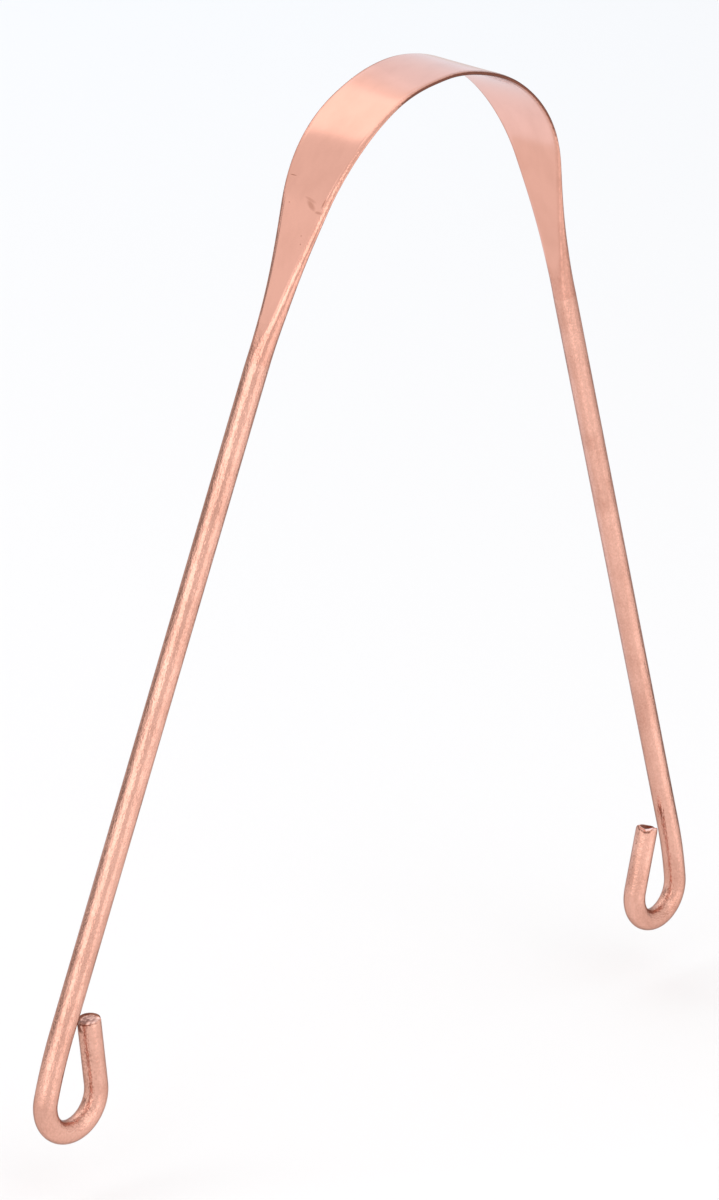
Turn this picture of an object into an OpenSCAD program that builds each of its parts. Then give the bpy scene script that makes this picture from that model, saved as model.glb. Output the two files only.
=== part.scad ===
/* [Rod] */
// Diameter of the drawn copper rod that the whole tool is bent from
rod_d = 3; // [2.4:0.1:4]

/* [Blade] */
// Width of the middle of the rod after it is rolled flat
strip_w = 10.5; // [7:0.1:14]
// Thickness of the rolled strip
strip_t = 0.6; // [0.4:0.05:1]
// Radius of the blade's bend, to the middle of its thickness
blade_r = 24; // [18:0.5:32]
// Half of the angle that the evenly rolled blade turns through
blade_half_angle = 25; // [15:1:35]

/* [Shoulders] */
// Radius of the bend between the blade and an arm
shoulder_r = 22.5; // [16:0.5:32]
// Length of straight bar after that bend, in which the flats run out into the round rod
flank_len = 19.8; // [10:0.1:40]
// Power of the swelling from strip to rod: a higher one keeps the strip thin for longer
taper_power = 3; // [1.5:0.05:4]
// Lean of each arm, measured from upright
arm_lean = 20.3; // [10:0.1:30]

/* [Arms] */
// Length of each straight, round arm
arm_len = 84.6; // [50:0.1:120]

/* [Finger loops] */
// Radius of the slow bend that leads out of the arm
lead_r = 56; // [30:1:90]
// Angle of that slow bend
lead_angle = 8.8; // [0.4:0.2:15]
// Radius of the tight loop, to the middle of the rod
loop_r = 4.35; // [4:0.05:8]
// Angle that the tight loop turns through
loop_angle = 202; // [190:1:206]
// Length of the straight tail after the loop
tail_len = 9.1; // [4:0.1:10]
// Width of the soft rim around the cropped end
rim_w = 0.3; // [0.1:0.05:0.6]

/* [Flexing] */
// Gap between the blade and each shoulder, where the strip bends as the arms are squeezed
flex_gap = 0.15; // [0.12:0.01:0.3]

/* [Hidden] */

// Smoothness of round surfaces, and the rings and points of a swelling shoulder
$fn = 96;
taper_steps = 44;
side_steps = 12;

// Share of the rod's diameter at which the last trace of the flats is dropped
last_flat_share = 0.995;

// Copper, a little paler where it is rolled
strip_colour = "#d9a08a";
rod_colour = "#c98468";

// A stretch of the bar is followed on the right-hand side, from the middle of the blade
// outwards. Its heading is how far it has turned downwards from level, in degrees.
blade_end_heading = blade_half_angle;
arm_heading = 90 - arm_lean;
loop_heading = arm_heading + lead_angle;
tail_heading = loop_heading + loop_angle;

// Where a bend or a straight run that starts at p comes to
function bend_end(p, r, from, to) = p + r * [sin(to) - sin(from), cos(to) - cos(from)];
function run_end(p, len, heading) = p + len * [cos(heading), -sin(heading)];

// The joints between the stretches, with the middle of the blade at [0, 0]
blade_end = bend_end([0, 0], blade_r, 0, blade_end_heading);
shoulder_bend_end = bend_end(blade_end, shoulder_r, blade_end_heading, arm_heading);
arm_start = run_end(shoulder_bend_end, flank_len, arm_heading);
arm_end = run_end(arm_start, arm_len, arm_heading);
loop_start = bend_end(arm_end, lead_r, arm_heading, loop_heading);
tail_start = bend_end(loop_start, loop_r, loop_heading, tail_heading);

// Each finger loop's lowest point touches the ground plane
loop_centre = loop_start - loop_r * [sin(loop_heading), cos(loop_heading)];
blade_height = loop_r + rod_d / 2 - loop_centre[1];

// Length of the shoulder's bend and of the whole swelling
shoulder_bend_len = shoulder_r * (arm_heading - blade_end_heading) * PI / 180;
taper_len = shoulder_bend_len + flank_len;

// The swelling starts at the blade's end, and its end face stands off by the flexing gap
function taper_station(i) = flex_gap + (taper_len - flex_gap) * i / taper_steps;
function heading_at(s) =
    s < shoulder_bend_len ? blade_end_heading + s / shoulder_r * 180 / PI : arm_heading;
function place_at(s) =
    s < shoulder_bend_len
        ? bend_end(blade_end, shoulder_r, blade_end_heading, heading_at(s))
        : run_end(shoulder_bend_end, s - shoulder_bend_len, arm_heading);
function thickness_at(s) =
    min(strip_t + (rod_d - strip_t) * pow(s / taper_len, taper_power), rod_d * last_flat_share);

// A rolled section keeps the rod's own round sides, pushed apart by the two flats.
// side_area is what the round sides hold, and bar_area falls a little as the bar is
// drawn longer by the rolling.
function side_area(t) =
    let (h = t / 2, r = rod_d / 2)
    2 * (h * sqrt(r * r - h * h) + r * r * asin(h / r) * PI / 180);
rod_area = PI * pow(rod_d / 2, 2);
strip_area = side_area(strip_t) + (strip_w - rod_d) * strip_t;
function bar_area(t) =
    rod_area + (strip_area - rod_area) * (rod_d - t) / (rod_d - strip_t);
function flat_w(t) = (bar_area(t) - side_area(t)) / t;

// Outline of the section, [across the width, through the thickness], one side then the other
function section(t) =
    let (r = rod_d / 2, reach = asin(t / rod_d))
    [for (side = [1, -1], k = [0 : side_steps])
        let (a = side * (2 * k / side_steps - 1) * reach)
        [side * (flat_w(t) / 2 + r * cos(a)), r * sin(a)]];
section_points = 2 * (side_steps + 1);

// One ring of the shoulder, square to the bar
function ring(s) =
    let (p = place_at(s), a = heading_at(s))
    [for (q = section(thickness_at(s)))
        [p[0] + q[1] * sin(a), q[0], p[1] + q[1] * cos(a)]];

module on_ground() {
    translate([0, 0, blade_height]) children();
}

module left_side() {
    mirror([1, 0, 0]) children();
}

// A bend of the bar about a level axis, with the section given as a flat child
module bend(start, r, from, to) {
    centre = start - r * [sin(from), cos(from)];
    translate([centre[0], 0, centre[1]])
        rotate([90, 0, 0])
            rotate([0, 0, 90 - to])
                rotate_extrude(angle = to - from)
                    translate([r, 0])
                        children();
}

// A solid that grows along the bar from p
module along(p, heading) {
    translate([p[0], 0, p[1]]) rotate([0, 90 + heading, 0]) children();
}

module blade() {
    start = bend_end([0, 0], blade_r, 0, -blade_end_heading);
    bend(start, blade_r, -blade_end_heading, blade_end_heading)
        square([strip_t, strip_w], center = true);
}

module shoulder() {
    points = [for (i = [0 : taper_steps]) each ring(taper_station(i))];
    last = taper_steps * section_points;
    start_cap = [for (k = [1 : section_points - 2]) [0, k, k + 1]];
    end_cap = [for (k = [1 : section_points - 2]) [last, last + k + 1, last + k]];
    skin = [
        for (i = [0 : taper_steps - 1], k = [0 : section_points - 1])
            let (
                a = i * section_points + k,
                b = i * section_points + (k + 1) % section_points
            )
            each [[a, a + section_points, b], [b, a + section_points, b + section_points]]
    ];
    polyhedron(points, concat(start_cap, skin, end_cap));
}

module arm() {
    along(arm_start, arm_heading) cylinder(h = arm_len, d = rod_d);
}

module loop_lead() {
    bend(arm_end, lead_r, arm_heading, loop_heading) circle(d = rod_d);
}

module finger_loop() {
    bend(loop_start, loop_r, loop_heading, tail_heading) circle(d = rod_d);
}

module cropped_tail() {
    along(tail_start, tail_heading) {
        cylinder(h = tail_len - rim_w, d = rod_d);
        translate([0, 0, tail_len - rim_w])
            cylinder(h = rim_w, d1 = rod_d, d2 = rod_d - 2 * rim_w);
    }
}

module scraping_blade() { color(strip_colour) on_ground() blade(); }
module right_shoulder() { color(strip_colour) on_ground() shoulder(); }
module left_shoulder() { color(strip_colour) on_ground() left_side() shoulder(); }
module right_arm() { color(rod_colour) on_ground() arm(); }
module left_arm() { color(rod_colour) on_ground() left_side() arm(); }
module right_loop_lead() { color(rod_colour) on_ground() loop_lead(); }
module left_loop_lead() { color(rod_colour) on_ground() left_side() loop_lead(); }
module right_finger_loop() { color(rod_colour) on_ground() finger_loop(); }
module left_finger_loop() { color(rod_colour) on_ground() left_side() finger_loop(); }
module right_cropped_tail() { color(rod_colour) on_ground() cropped_tail(); }
module left_cropped_tail() { color(rod_colour) on_ground() left_side() cropped_tail(); }

scraping_blade();
left_shoulder();
right_shoulder();
left_arm();
right_arm();
left_loop_lead();
right_loop_lead();
left_finger_loop();
right_finger_loop();
left_cropped_tail();
right_cropped_tail();
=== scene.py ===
import math
from collections import namedtuple

import bpy
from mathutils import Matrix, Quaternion, Vector, noise
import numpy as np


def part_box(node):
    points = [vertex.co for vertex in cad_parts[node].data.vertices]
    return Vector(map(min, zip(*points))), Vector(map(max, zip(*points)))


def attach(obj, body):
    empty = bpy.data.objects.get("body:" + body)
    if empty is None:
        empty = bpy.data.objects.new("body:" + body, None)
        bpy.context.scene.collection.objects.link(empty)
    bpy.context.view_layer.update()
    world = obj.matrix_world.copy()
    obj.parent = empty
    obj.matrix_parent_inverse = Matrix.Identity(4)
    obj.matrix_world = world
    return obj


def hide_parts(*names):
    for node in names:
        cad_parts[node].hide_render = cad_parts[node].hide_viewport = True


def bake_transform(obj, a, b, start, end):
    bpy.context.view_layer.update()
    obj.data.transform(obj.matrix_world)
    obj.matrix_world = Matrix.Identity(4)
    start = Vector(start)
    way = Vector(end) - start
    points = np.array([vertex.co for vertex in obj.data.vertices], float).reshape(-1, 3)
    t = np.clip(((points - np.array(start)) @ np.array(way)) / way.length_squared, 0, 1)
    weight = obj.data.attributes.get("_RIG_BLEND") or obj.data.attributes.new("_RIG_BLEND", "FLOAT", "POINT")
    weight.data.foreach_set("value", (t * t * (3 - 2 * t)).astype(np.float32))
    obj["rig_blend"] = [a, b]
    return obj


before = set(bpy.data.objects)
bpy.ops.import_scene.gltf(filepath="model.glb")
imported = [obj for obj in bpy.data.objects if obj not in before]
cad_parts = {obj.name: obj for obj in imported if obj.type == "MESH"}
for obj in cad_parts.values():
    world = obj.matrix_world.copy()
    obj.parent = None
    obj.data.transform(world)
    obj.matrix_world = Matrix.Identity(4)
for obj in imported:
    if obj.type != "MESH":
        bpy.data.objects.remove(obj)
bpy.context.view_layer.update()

mm = 0.001

# The photographed view
# The tool is seen from its front left and from a little above, through a long lens. It leans
# slightly in the picture, so the camera is rolled a little.
view_azimuth = math.radians(48.19)
view_elevation = math.radians(17.48)
view_roll = math.radians(2.97)
view_distance = 656.3 * mm
view_centre = Vector((-7.89, 0, 60.29)) * mm
view_lens = 156.56

towards_camera = Vector((
    -math.sin(view_azimuth) * math.cos(view_elevation),
    -math.cos(view_azimuth) * math.cos(view_elevation),
    math.sin(view_elevation),
))
turned = towards_camera.to_track_quat("Z", "Y") @ Quaternion((0, 0, 1), view_roll)
bpy.ops.object.camera_add(
    location=view_centre + towards_camera * view_distance, rotation=turned.to_euler()
)
camera = bpy.context.object
camera.name = "camera"
camera.data.lens = view_lens
camera.data.clip_start = 10 * mm
bpy.context.scene.camera = camera

# Rolled blade and shoulders
# The middle of the copper rod, rolled flat into a thin strip and bent into an arch. From the
# blade's ends the strip swells back into round rod. Each half is one piece that bends between
# the crown and its handle, because the real strip is what flexes.
rod_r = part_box("right_arm")[1].y / mm
strip_w = 2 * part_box("scraping_blade")[1].y / mm
strip_t = 0.6
blade_r = 24
blade_half_angle = 25
shoulder_r = 22.5
flank_len = 19.8
taper_power = 3
arm_lean = 20.3

# How far each half-oval edge reaches across the strip, and how much thinner than the rod the
# swelling is where its growth starts to ease
edge_reach = 0.95
last_flat = 0.15

# The hand that rolled it left the crown leaning forwards by some degrees and the left flank off
# the middle. The pairs are stations, in millimetres from the top of the arch, between which
# each comes or goes.
crown_lean = 3
lean_goes = (3, 12)
left_sway = 0.2
sway_comes = (0, 5)
sway_goes = (38, 50)

ring_points = 64
blade_steps = 50
shoulder_steps = 90
flank_steps = 80

apex_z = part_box("scraping_blade")[1].z / mm - strip_t / 2
arm_heading = 90 - arm_lean
blade_len = blade_r * math.radians(blade_half_angle)
shoulder_turn = arm_heading - blade_half_angle
taper_len = shoulder_r * math.radians(shoulder_turn) + flank_len

# A place along the bar: how far it is from the top of the arch, where its centre stands on the
# right-hand side, how far it has turned down from level in degrees, and the radius there
Place = namedtuple("Place", "station x z heading radius")


class Bar:
    """A stretch of the bar on one side (-1 left, 1 right), drawn ring by ring outwards."""

    def __init__(self, side, start):
        self.side = side
        self.places = [start]
        bpy.ops.object.select_all(action="DESELECT")
        bpy.ops.mesh.primitive_circle_add(
            vertices=ring_points,
            radius=start.radius * mm,
            fill_type="NOTHING",
            location=self.point(start, 0, 0),
            rotation=(0, math.radians(90 + side * start.heading), 0),
        )
        bpy.ops.object.transform_apply(location=True, rotation=True)
        self.piece = bpy.context.object
        bpy.ops.object.mode_set(mode="EDIT")
        bpy.ops.mesh.select_all(action="SELECT")

    def point(self, place, across, through):
        """A point beside a place: across the bar's width, and through it towards its outside."""
        a = math.radians(place.heading)
        x = place.x + through * math.sin(a)
        z = place.z + through * math.cos(a)
        return Vector((self.side * x, across, z)) * mm

    def bend(self, radius, turn, steps):
        """Bends the bar down and inwards, by spinning its last ring."""
        start = self.places[-1]
        a = math.radians(start.heading)
        centre_x = start.x - radius * math.sin(a)
        centre_z = start.z - radius * math.cos(a)
        bpy.ops.mesh.spin(
            steps=steps,
            angle=math.radians(turn),
            center=(self.side * centre_x * mm, 0, centre_z * mm),
            axis=(0, -self.side, 0),
        )
        for i in range(1, steps + 1):
            a = math.radians(start.heading + turn * i / steps)
            self.places.append(Place(
                start.station + radius * math.radians(turn) * i / steps,
                centre_x + radius * math.sin(a),
                centre_z + radius * math.cos(a),
                math.degrees(a),
                start.radius,
            ))

    def run(self, length, steps, radius=None):
        """Runs the bar straight on, by extruding its last ring."""
        for _ in range(steps):
            last = self.places[-1]
            a = math.radians(last.heading)
            dx = length / steps * math.cos(a)
            dz = -length / steps * math.sin(a)
            bpy.ops.mesh.extrude_region_move(
                TRANSFORM_OT_translate={"value": (self.side * dx * mm, 0, dz * mm)}
            )
            self.places.append(Place(
                last.station + length / steps, last.x + dx, last.z + dz, last.heading,
                last.radius if radius is None else radius,
            ))

    def set_rings(self, tarnish_and_shade_at):
        """Presses each ring into the bar's section, and notes its place and its finish."""
        bpy.ops.object.mode_set(mode="OBJECT")
        mesh = self.piece.data
        mesh.attributes.new("bar_place", "FLOAT_VECTOR", "POINT")
        mesh.attributes.new("rolled", "FLOAT", "POINT")
        mesh.attributes.new("tarnish_and_painted_light", "FLOAT", "POINT")
        bar_place, rolled, tarnish_and_painted_light = (
            mesh.attributes[name].data for name in ("bar_place", "rolled", "tarnish_and_painted_light")
        )
        for i, place in enumerate(self.places):
            for k, (across, through, flatness) in enumerate(section(self.side, place)):
                n = i * ring_points + k
                mesh.vertices[n].co = self.point(place, across, through)
                bar_place[n].vector = Vector((self.side * place.station, across, through)) * mm
                rolled[n].value = flatness
                tarnish_and_painted_light[n].value = tarnish_and_shade_at(self.side, place, through, flatness)

    def close(self, first, sharp):
        """Closes the bar across the ring whose points start at first."""
        bpy.ops.object.mode_set(mode="EDIT")
        bpy.ops.mesh.select_mode(type="VERT")
        bpy.ops.mesh.select_all(action="DESELECT")
        bpy.ops.object.mode_set(mode="OBJECT")
        for vertex in self.piece.data.vertices[first:first + ring_points]:
            vertex.select = True
        bpy.ops.object.mode_set(mode="EDIT")
        if sharp:
            bpy.ops.mesh.mark_sharp()
        bpy.ops.mesh.edge_face_add()

    def finish(self, name, material):
        """Turns the faces outwards, smooths them and names the piece."""
        bpy.ops.mesh.select_all(action="SELECT")
        bpy.ops.mesh.normals_make_consistent(inside=False)
        bpy.ops.object.mode_set(mode="OBJECT")
        bpy.ops.object.shade_smooth()
        self.piece.name = name
        self.piece.data.name = name
        self.piece.data.materials.append(material)
        return self.piece


def step(low, high, value):
    """0 below low, 1 above high, and smooth between them."""
    share = min(1, max(0, (value - low) / (high - low)))
    return share * share * (3 - 2 * share)


def fade(low, high, value):
    """1 below low, 0 above high, and smooth between them."""
    return 1 - step(low, high, value)


def mix(a, b, share):
    """a at a share of 0, b at 1, and in proportion between them."""
    return a + (b - a) * share


def thickness_at(station):
    """The thickness swells by a power of the distance, and eases into the rod's at the end."""
    share = max(0, station - blade_len) / taper_len
    swelling = strip_t + (2 * rod_r - strip_t) * share ** taper_power
    ease = min(1, max(0, 0.5 + (swelling - 2 * rod_r) / (2 * last_flat)))
    return mix(swelling, 2 * rod_r, ease) - last_flat * ease * (1 - ease)


def flat_width(t):
    """The rod's round sides, pushed apart by flats so that most of the rod's area is kept."""
    def side_area(t):
        h = t / 2
        return 2 * (h * math.sqrt(max(0, rod_r ** 2 - h ** 2)) + rod_r ** 2 * math.asin(h / rod_r))

    rod_area = math.pi * rod_r ** 2
    strip_area = side_area(strip_t) + (strip_w - 2 * rod_r) * strip_t
    rolled = (2 * rod_r - t) / (2 * rod_r - strip_t)
    return (mix(rod_area, strip_area, rolled) - side_area(t)) / t


def section(side, place):
    """The points around one ring: across, through, and how flat it is (1) or round (0)."""
    half_t = thickness_at(place.station) / 2
    reach = max(half_t, edge_reach)
    flat = max(0, flat_width(2 * half_t) / 2 + rod_r - reach)
    # A quarter of the points lie on the two flats, and fewer where these are under 2 mm wide
    flat_share = min(1, flat) / 4
    lean = math.radians(crown_lean * fade(*lean_goes, place.station))
    sway = left_sway * step(*sway_comes, place.station) * fade(*sway_goes, place.station)
    if side > 0:
        sway = 0
    points = []
    for k in range(ring_points):
        own = math.tau * k / ring_points
        quarter = math.asin(min(1, abs(math.sin(own)))) / (math.pi / 2)
        if quarter <= 1 - flat_share:
            a = math.pi / 2 * quarter / (1 - flat_share)
            across = flat + reach * math.cos(a)
            through = half_t * math.sin(a)
            flatness = (1 - math.cos(a)) * step(0, 1, flat)
        else:
            across = flat * (1 - quarter) / flat_share
            through = half_t
            flatness = step(0, 1, flat)
        across = math.copysign(across, math.cos(own)) * place.radius / rod_r
        through = math.copysign(through, math.sin(own)) * place.radius / rod_r
        points.append((
            across * math.cos(lean) - through * math.sin(lean) - sway,
            across * math.sin(lean) + through * math.cos(lean),
            flatness,
        ))
    return points


# Brown scale is left on the strip's edges at the top. It goes between two stations, but on the
# right a thinner scale goes on to the second pair.
scale_goes = (6, 16)
thin_scale = 0.75
thin_scale_goes = (19, 27)


def edge_tarnish(side, place, through, flatness):
    """How much brown scale there is: all over an edge, and none on a flat."""
    lower = step(*scale_goes, place.station)
    # The scale laps over from an edge to where the section is this flat
    lap = mix(0.32, 0.2, lower)
    edge = fade(0.08, lap, flatness)
    thin = thin_scale * fade(*thin_scale_goes, place.station) if side > 0 else 0
    return edge * mix(1, thin, lower)


def linear(hex_colour):
    """An sRGB hex colour as the linear one that a shader takes."""
    parts = [int(hex_colour[i:i + 2], 16) / 255 for i in (1, 3, 5)]
    return tuple(c / 12.92 if c <= 0.04045 else ((c + 0.055) / 1.055) ** 2.4 for c in parts) + (1,)


def add_node(tree, kind, inputs=None, **settings):
    """A node with its settings, its inputs set to values or linked to other nodes' outputs."""
    made = tree.nodes.new(kind)
    for name, value in settings.items():
        setattr(made, name, value)
    for name, value in (inputs or {}).items():
        if isinstance(value, bpy.types.NodeSocket):
            tree.links.new(value, made.inputs[name])
        else:
            made.inputs[name].default_value = value
    return made


# Copper where it has dulled, under brown scale or painted shade, and under a painted highlight
dull_colour = linear("#A8705C")
scale_and_shade_colour = linear("#825548")
highlight_colour = linear("#F5CCC2")

# Sizes of the grain, as its length along the bar and its width: lines that the die or the rolls
# left, pits of a quarter of a millimetre, and dull patches
line_size = (3, 0.7)
pit_size = (0.35, 0.25)
patch_size = (7, 4)

# How deep into the metal a mark from use is drawn
mark_depth = 0.4


def copper(name, colour, marks=()):
    """Bare copper, satin where it is rolled flat, and grained where it is as drawn.

    Each mark is dull: two ends as (station, across), its width, and how strong it is. Stations
    on the left-hand side are below zero.
    """
    material = bpy.data.materials.new(name)
    material.use_nodes = True
    tree = material.node_tree
    shader = tree.nodes["Principled BSDF"]
    along = add_node(tree, "ShaderNodeAttribute", attribute_name="bar_place")
    rolled = add_node(tree, "ShaderNodeAttribute", attribute_name="rolled")
    tarnish_and_painted_light = add_node(tree, "ShaderNodeAttribute", attribute_name="tarnish_and_painted_light")

    def grain(size, detail):
        """Noise drawn out along the bar."""
        length, width = size
        space = add_node(tree, "ShaderNodeMapping", {
            "Vector": along.outputs["Vector"],
            "Scale": (1 / (length * mm), 1 / (width * mm), 1 / (width * mm)),
        })
        made = add_node(tree, "ShaderNodeTexNoise", {
            "Vector": space.outputs["Vector"], "Scale": 1, "Detail": detail, "Roughness": 0.6,
        })
        return made.outputs["Fac"]

    def by_finish(drawn, smooth):
        """A value that goes over from the drawn finish to the rolled one."""
        made = add_node(tree, "ShaderNodeMapRange", {
            "Value": rolled.outputs["Fac"], "From Min": 0.2, "From Max": 0.7,
            "To Min": drawn, "To Max": smooth,
        })
        return made.outputs["Result"]

    lines = grain(line_size, 2)
    pits = grain(pit_size, 1)
    dullness = add_node(tree, "ShaderNodeMapRange", {
        "Value": grain(patch_size, 3), "From Min": 0.45, "From Max": 0.75,
        "To Max": by_finish(0.3, 0.14),
    }).outputs["Result"]
    dullness = add_node(tree, "ShaderNodeMath", {
        0: pits, 1: by_finish(0.5, 0.06), 2: dullness,
    }, operation="MULTIPLY_ADD").outputs["Value"]
    for (s0, y0), (s1, y1), width, strength in marks:
        middle = Vector(((s0 + s1) / 2, (y0 + y1) / 2, thickness_at(abs(s0)) / 2))
        size = Vector((math.hypot(s1 - s0, y1 - y0) / 2, width / 2, mark_depth))
        space = add_node(tree, "ShaderNodeMapping", {
            "Vector": along.outputs["Vector"], "Location": middle * mm, "Scale": size * mm,
            "Rotation": (0, 0, math.atan2(y1 - y0, s1 - s0)),
        }, vector_type="TEXTURE")
        distance = add_node(tree, "ShaderNodeVectorMath", {
            0: space.outputs["Vector"],
        }, operation="LENGTH")
        mark = add_node(tree, "ShaderNodeMapRange", {
            "Value": distance.outputs["Value"], "From Min": 1, "From Max": 0.4,
            "To Max": strength,
        })
        dullness = add_node(tree, "ShaderNodeMath", {
            0: dullness, 1: mark.outputs["Result"],
        }, operation="MAXIMUM").outputs["Value"]
    dulled = add_node(tree, "ShaderNodeMix", {
        "Factor": dullness, "A": linear(colour), "B": dull_colour,
    }, data_type="RGBA")

    # Scale, and painted shade laid on as scale, covers the pits first
    scale = add_node(tree, "ShaderNodeMath", {
        0: pits, 1: 0.6, 2: tarnish_and_painted_light.outputs["Fac"],
    }, operation="MULTIPLY_ADD")
    scale_and_shade_share = add_node(tree, "ShaderNodeMapRange", {
        "Value": scale.outputs["Value"], "From Min": 0.5, "From Max": 0.9,
    })
    tint = add_node(tree, "ShaderNodeMix", {
        "Factor": scale_and_shade_share.outputs["Result"], "A": dulled.outputs["Result"], "B": scale_and_shade_colour,
    }, data_type="RGBA")
    # Where the tarnish is below nothing, a pale highlight is painted on
    highlight_share = add_node(tree, "ShaderNodeMapRange", {
        "Value": tarnish_and_painted_light.outputs["Fac"], "From Min": 0, "From Max": -0.5,
    })
    highlighted = add_node(tree, "ShaderNodeMix", {
        "Factor": highlight_share.outputs["Result"], "A": tint.outputs["Result"], "B": highlight_colour,
    }, data_type="RGBA")
    tree.links.new(highlighted.outputs["Result"], shader.inputs["Base Color"])

    # On the drawn rod the lines, and half as much the pits, are about a tenth of a millimetre
    # high, and on the rolled strip they are nearly gone
    relief = add_node(tree, "ShaderNodeMath", {0: pits, 1: 0.5, 2: lines}, operation="MULTIPLY_ADD")
    height = add_node(tree, "ShaderNodeMath", {
        0: relief.outputs["Value"], 1: by_finish(0.1, 0.003),
    }, operation="MULTIPLY")
    bump = add_node(tree, "ShaderNodeBump", {
        "Height": height.outputs["Value"], "Strength": 1, "Distance": mm,
    })
    tree.links.new(bump.outputs["Normal"], shader.inputs["Normal"])
    tree.links.new(by_finish(0.4, 0.85), shader.inputs["Specular Tint"])
    tree.links.new(by_finish(0.27, 0.17), shader.inputs["Roughness"])
    shader.inputs["Metallic"].default_value = 1
    return material


# Rolled copper: the rolls leave it smooth and satin, pale pink. On the left flank are a nick at
# the far edge, a smudge of three strokes, a scratch by the near edge and small spots.
rolled_copper = copper("rolled copper", "#E5AC9A", (
    ((-24.6, 3.6), (-24.6, 2.2), 0.14, 1),
    ((-26.7, 0.1), (-27.3, -2.4), 0.5, 0.35),
    ((-27, -0.5), (-28.3, -2.5), 0.9, 0.5),
    ((-28.3, -2.2), (-28.3, -3.7), 0.5, 0.5),
    ((-26.2, -3.55), (-27.9, -3.15), 0.4, 0.7),
    ((-47.8, -0.2), (-49, -0.3), 0.4, 0.8),
    ((-27.8, 2.05), (-28, 2.05), 0.2, 1),
    ((-31.4, -1.4), (-31.6, -1.4), 0.2, 1),
    ((-32.4, -1.7), (-32.6, -1.7), 0.2, 1),
))

# Each half bends between two places, as how far out and how high they are
flex_start = (4, 127.5)
flex_end = (18, 119)

apex = Place(0, 0, apex_z, 0, rod_r)
for name, side in (("left", -1), ("right", 1)):
    bar = Bar(side, apex)
    bar.bend(blade_r, blade_half_angle, blade_steps)
    bar.bend(shoulder_r, shoulder_turn, shoulder_steps)
    bar.run(flank_len, flank_steps)
    arm_start = bar.places[-1]
    bar.set_rings(edge_tarnish)
    bar.close(0, sharp=True)
    bar.close((len(bar.places) - 1) * ring_points, sharp=True)
    strip = bar.finish(name + "_strip", rolled_copper)
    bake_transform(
        strip, "crown", name + "_handle",
        start=(side * flex_start[0] * mm, 0, flex_start[1] * mm),
        end=(side * flex_end[0] * mm, 0, flex_end[1] * mm),
    )
    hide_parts("scraping_blade", name + "_shoulder")

# Arms and finger loops
# Drawn copper rod as it comes from the die, straight along the arm, then bent in the plane of
# the bow: a slow bend first, a tight loop, and a short tail that the cutter cropped.
arm_len = 84.6
lead_r = 56
lead_angle = 8.8
loop_r = 4.35
loop_angle = 202
tail_len = 9.1
rim_r = 0.25

arm_steps = 90
lead_steps = 16
loop_steps = 80
tail_steps = 25
rim_steps = 4
face_steps = 10

# The rings that the cutter marked: the last few of the tail, and all of the rim and the face
marked_tail_steps = 5
marked_rings = marked_tail_steps + rim_steps + face_steps

# The cut faces are bumpy, and less grained than the drawn rod: bumps to the millimetre, how high
# they are, how much they vary the stain, and how far the finish goes over to the rolled one
bumps_per_mm = 2
bump_height = 0.03
bump_stain = 0.4
cut_smoothness = 0.6

# How dark the painted shade on the inner side of a loop is
loop_shade_darkness = 0.25

# Drawn copper: the die leaves the rod grained along its length
drawn_copper = copper("drawn copper", "#EDB8A6")


def loop_shade(side, place, through, flatness):
    """The inner side of the tight loop, and of the tail after it, is darkened with painted shade."""
    inner = step(0.2, 1, -through / rod_r)
    return loop_shade_darkness * inner * step(0, 2, place.station - loop_start.station)


def in_view(side, across, through):
    """A place on an end face, as the photographed view sees it: to the right, and away."""
    x = -side * through
    right = x * math.cos(view_azimuth) - across * math.sin(view_azimuth)
    away = x * math.sin(view_azimuth) + across * math.cos(view_azimuth)
    return right, away


# An end's shape is given for each place on it, in millimetres to the right and away in that view
# and down the tail: how far the metal stands up there, and how stained it is, with painted shade
# in it. A stain below zero is a painted highlight.


def rubbed_end(right, away, down):
    """The left tail's end: a rubbed, mottled face with a dark far rim, chipped beside the arm."""
    out = math.hypot(right, away) / rod_r
    face = fade(0.05, 0.3, down)
    far_rim = step(0.7, 0.86, out) * step(0.2, 0.7, away)
    highlight_spot = fade(0.1, 0.35, math.hypot(right - 1.2, away - 0.1))
    chip = fade(0.1, 0.42 - 0.12 * down, abs(right + 1.4 - 0.3 * down))
    chip *= fade(0, 0.4, away) * fade(0.8, 1.5, down)
    rise = 0.16 * far_rim - 0.25 * chip
    # Painted shade darkens the face towards the far left, and the spot is a painted highlight
    stain_and_painted_light = 0.42 + 0.08 * (away - right) + 0.7 * far_rim - 0.8 * highlight_spot
    # The chip beside the arm is darkened partly as a chip and partly with painted shade
    return rise, face * stain_and_painted_light + 0.6 * chip


def pinched_end(right, away, down):
    """The right tail's end: the cutter's notched ridge as a painted highlight, hollows in painted shade."""
    face = fade(0.05, 0.3, down)
    notch = max(0, 1 - abs(right + 0.25) / 1.1) * fade(-0.5, 0.1, away)
    ridge = step(-1.45, -0.9, away) * fade(-0.7, -0.3, away)
    hollow = step(-0.6, -0.2, away) * fade(0.2, 1.1, away)
    hollow_depth = mix(0.35, 0.45, step(0, 1, right))
    burr = step(1.1, 1.4, abs(right))
    rise = 0.17 * ridge - hollow_depth * hollow - 0.42 * notch + 0.18 * burr
    # Painted shade in the hollows and a painted highlight on the ridge; darker just below the face on its
    # near side
    shade = step(-0.5, -0.2, away) * fade(0.9, 1.1, away) * step(-1.2, -0.6, right)
    under = step(0, 0.12, down) * fade(0.3, 0.5, down)
    under *= fade(-0.7, -0.2, away) * fade(0.2, 0.9, right)
    return rise, face * (shade - 0.9 * ridge) + 0.6 * under


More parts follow.
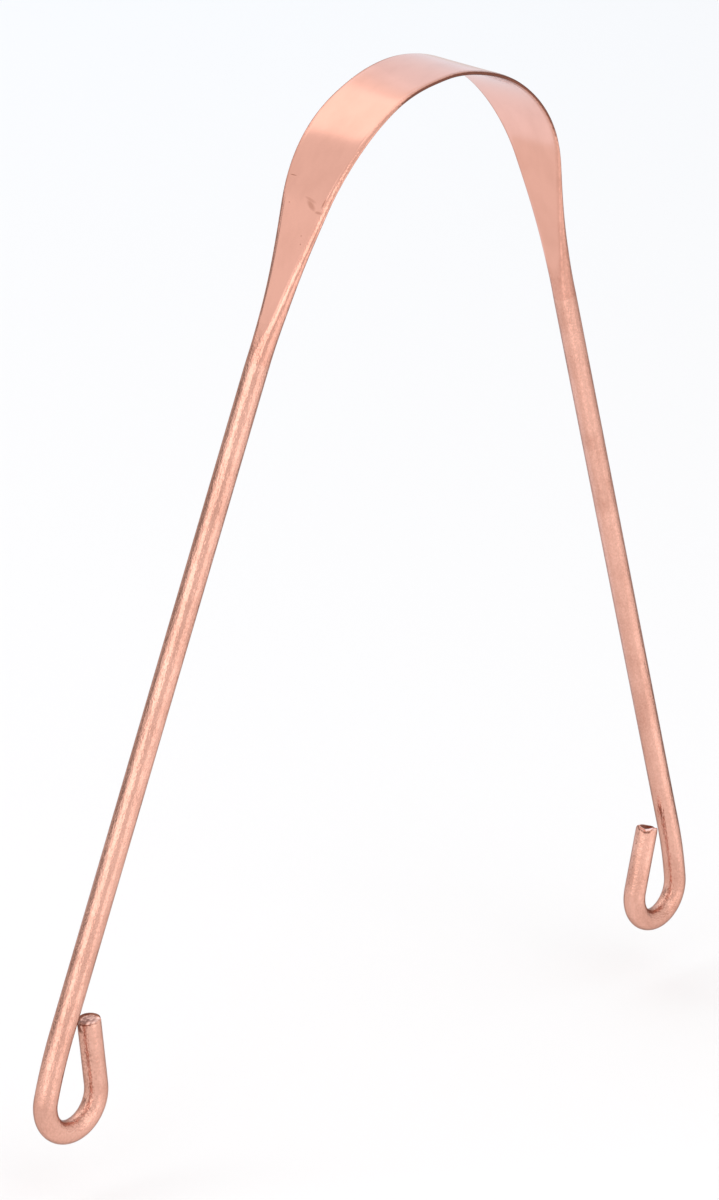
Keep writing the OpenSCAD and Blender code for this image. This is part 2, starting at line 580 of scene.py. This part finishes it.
for name, side, end_shape in (("left", -1, rubbed_end), ("right", 1, pinched_end)):
    bar = Bar(side, arm_start)
    bar.run(arm_len, arm_steps)
    bar.bend(lead_r, lead_angle, lead_steps)
    loop_start = bar.places[-1]
    bar.bend(loop_r, loop_angle, loop_steps)
    bar.run(tail_len - rim_r, tail_steps)
    # The rim turns over, and rings close in over the cut face to half a ring from its middle
    for i in range(1, rim_steps + 1):
        a = math.pi / 2 * i / rim_steps
        b = math.pi / 2 * (i - 1) / rim_steps
        bar.run(rim_r * (math.sin(a) - math.sin(b)), 1, rod_r - rim_r * (1 - math.cos(a)))
    for i in range(1, face_steps + 1):
        bar.run(0, 1, (rod_r - rim_r) * (1 - i / (face_steps + 0.5)))
    bar.set_rings(loop_shade)
    first_marked = (len(bar.places) - marked_rings) * ring_points
    heading = math.radians(bar.places[-1].heading)
    out = Vector((side * math.cos(heading), 0, -math.sin(heading))) * mm
    attributes = bar.piece.data.attributes
    for vertex in bar.piece.data.vertices[first_marked:]:
        place = attributes["bar_place"].data[vertex.index].vector / mm
        down = bar.places[-1].station - abs(place.x)
        rise, stain_and_painted_light = end_shape(*in_view(side, place.y, place.z), down)
        on_face = fade(0, 0.3, down)
        rough = noise.noise(Vector((place.y, place.z, side)) * bumps_per_mm) * on_face
        vertex.co += out * (rise * fade(0.25, 1.2, down) + bump_height * rough)
        # The end's stain, with its painted shade and highlight, is added to the tarnish
        attributes["tarnish_and_painted_light"].data[vertex.index].value += stain_and_painted_light + bump_stain * rough
        attributes["rolled"].data[vertex.index].value = cut_smoothness * on_face
    bar.close(0, sharp=True)
    bar.close((len(bar.places) - 1) * ring_points, sharp=False)
    rod = bar.finish(name + "_rod", drawn_copper)
    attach(rod, name + "_handle")
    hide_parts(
        name + "_arm", name + "_loop_lead", name + "_finger_loop", name + "_cropped_tail"
    )

# Floor and studio light
# A plain pale floor in a white room. Softboxes overhead and around the camera and a cool panel
# behind are what the copper mirrors as its bright bands. Sizes here are in metres.
floor_size = 8
floor_z = -7 * mm
bpy.ops.object.select_all(action="DESELECT")
bpy.ops.mesh.primitive_plane_add(size=floor_size, location=(0, 0, floor_z))
bpy.ops.object.transform_apply(location=True)
floor = bpy.context.object
floor.name = "floor"


def plain(name, hex_colour):
    """A matt material of one colour."""
    material = bpy.data.materials.new(name)
    material.use_nodes = True
    shader = material.node_tree.nodes["Principled BSDF"]
    shader.inputs["Base Color"].default_value = linear(hex_colour)
    shader.inputs["Roughness"].default_value = 1
    shader.inputs["Specular IOR Level"].default_value = 0
    return material


floor_colour = "#EFEEEE"
floor.data.materials.append(plain("white paper", floor_colour))

middle = Vector((0, 0, 70)) * mm


def from_middle(round_deg, up_deg, distance):
    """A place around the tool, by degrees clockwise from the camera and above level."""
    a = math.atan2(towards_camera.y, towards_camera.x) - math.radians(round_deg)
    up = math.radians(up_deg)
    off = Vector((math.cos(a) * math.cos(up), math.sin(a) * math.cos(up), math.sin(up)))
    return middle + off * distance, off.to_track_quat("Z", "Y").to_euler()


# Each lamp: where it stands as degrees round and up, how far off, its width and height, how
# bright its face is, and its colour
lamps = (
    ("overhead_softbox", 133.8, 50.5, 0.9, 0.47, 0.5, 0.4, "#FFFFFF"),
    ("overhead_halo", 138.6, 50.3, 0.92, 0.57, 0.6, 0.12, "#FFFFFF"),
    ("overhead_skirt", 145, 49.5, 0.94, 0.68, 0.7, 0.1, "#FFFFFF"),
    ("back_panel", 173, 25, 0.9, 0.5, 0.62, 0.38, "#97D1FF"),
    ("side_panel", 83, 17, 0.9, 0.3, 0.2, 0.1, "#FFFFFF"),
    ("high_side_softbox", 65, 38, 0.82, 0.23, 0.36, 1.4, "#FFFFFF"),
    ("left_softbox", 34, 15, 0.8, 0.54, 0.53, 0.94, "#FFFFFF"),
    ("left_softbox_top", 34, 25, 0.79, 0.54, 0.22, 0.35, "#FFFFFF"),
    ("front_softbox", -33, 42, 0.8, 0.46, 0.3, 0.7, "#FFFFFF"),
    ("right_softbox", -52, 8, 0.4, 0.31, 0.25, 0.66, "#FFFFFF"),
)


def add_lamp(name, location, rotation, width, height, radiance, colour):
    """A rectangular lamp, bright by what each square metre of its face gives off."""
    bpy.ops.object.light_add(type="AREA", location=location, rotation=rotation)
    lamp = bpy.context.object
    lamp.name = name
    lamp.data.shape = "RECTANGLE"
    lamp.data.size = width
    lamp.data.size_y = height
    lamp.data.energy = radiance * math.pi * width * height
    lamp.data.color = linear(colour)[:3]
    lamp.visible_camera = False


for name, round_deg, up_deg, distance, width, height, radiance, colour in lamps:
    location, rotation = from_middle(round_deg, up_deg, distance)
    add_lamp(name, location, rotation, width, height, radiance, colour)

# The right softbox stands on the floor. A weaker lamp of its size faces away from its back, so
# that the floor is lit on both sides of its foot and no line shows there.
back_radiance = 0.5
softbox = bpy.data.objects["right_softbox"]
turned_round = softbox.rotation_euler.copy()
turned_round.rotate_axis("Y", math.pi)
add_lamp(
    "right_softbox_back", softbox.location, turned_round, softbox.data.size, softbox.data.size_y,
    back_radiance, "#FFFFFF",
)

# Patches of the floor glow, as a light table does: where each is in millimetres, its turn in
# degrees, its width and height, how bright it is, and its colour
patch_z = floor_z + 1 * mm
patches = (
    ("table_front", (10, -50), 0, 0.16, 0.1, 0.1, "#FFFFFF"),
    ("table_right", (140, -120), 0, 0.12, 0.13, 0.3, "#FFFFFF"),
    ("table_right_strip", (88, -108), 10, 0.035, 0.15, 0.5, "#FFFFFF"),
    ("table_tail", (52, -85), 0, 0.022, 0.08, 0.25, "#FFFFFF"),
    ("table_left_strip", (-52, -150), 0, 0.04, 0.2, 0.8, "#FFFFFF"),
    ("table_ahead", (0, -360), 0, 0.28, 0.26, 0.5, "#FFFFFF"),
    ("table_left", (-420, -65), 0, 0.5, 0.35, 0.6, "#FFFFFF"),
    ("table_back", (130, 170), 0, 0.3, 0.24, 0.36, "#A9D8FF"),
)
for name, (x, y), turn, width, height, radiance, colour in patches:
    location = Vector((x * mm, y * mm, patch_z))
    add_lamp(name, location, (math.pi, 0, math.radians(turn)), width, height, radiance, colour)

# Dark cards give the arms their dark edges: one stands far to the left, and one lies on the
# floor to the right. Only the copper sees them. Each has its place, its turn, its width and its
# height.
card_z = floor_z + 0.5 * mm
cards = (
    ("left_card", *from_middle(103, 5.5, 0.8), 0.56, 0.31),
    ("right_card", Vector((0.375, -0.033, card_z)), (0, 0, math.radians(-5.8)), 0.48, 0.065),
)
dark_card = plain("dark card", "#8C8C8C")
for name, location, rotation, width, height in cards:
    bpy.ops.mesh.primitive_plane_add(size=1, location=location, rotation=rotation)
    card = bpy.context.object
    card.name = name
    card.scale = (width, height, 1)
    bpy.ops.object.transform_apply(location=True, rotation=True, scale=True)
    card.data.materials.append(dark_card)
    card.visible_camera = False
    card.visible_diffuse = False
    card.visible_shadow = False

world = bpy.data.worlds.new("pale room")
bpy.context.scene.world = world
world.use_nodes = True
# The camera sees the room in the floor's own colour, so that no horizon shows
light_path = add_node(world.node_tree, "ShaderNodeLightPath")
room = add_node(world.node_tree, "ShaderNodeMix", {
    "Factor": light_path.outputs["Is Camera Ray"],
    "A": linear("#FFFFFF"), "B": linear(floor_colour),
}, data_type="RGBA")
background = world.node_tree.nodes["Background"]
world.node_tree.links.new(room.outputs["Result"], background.inputs["Color"])
background.inputs["Strength"].default_value = 1

bpy.context.scene.view_settings.view_transform = "Standard"
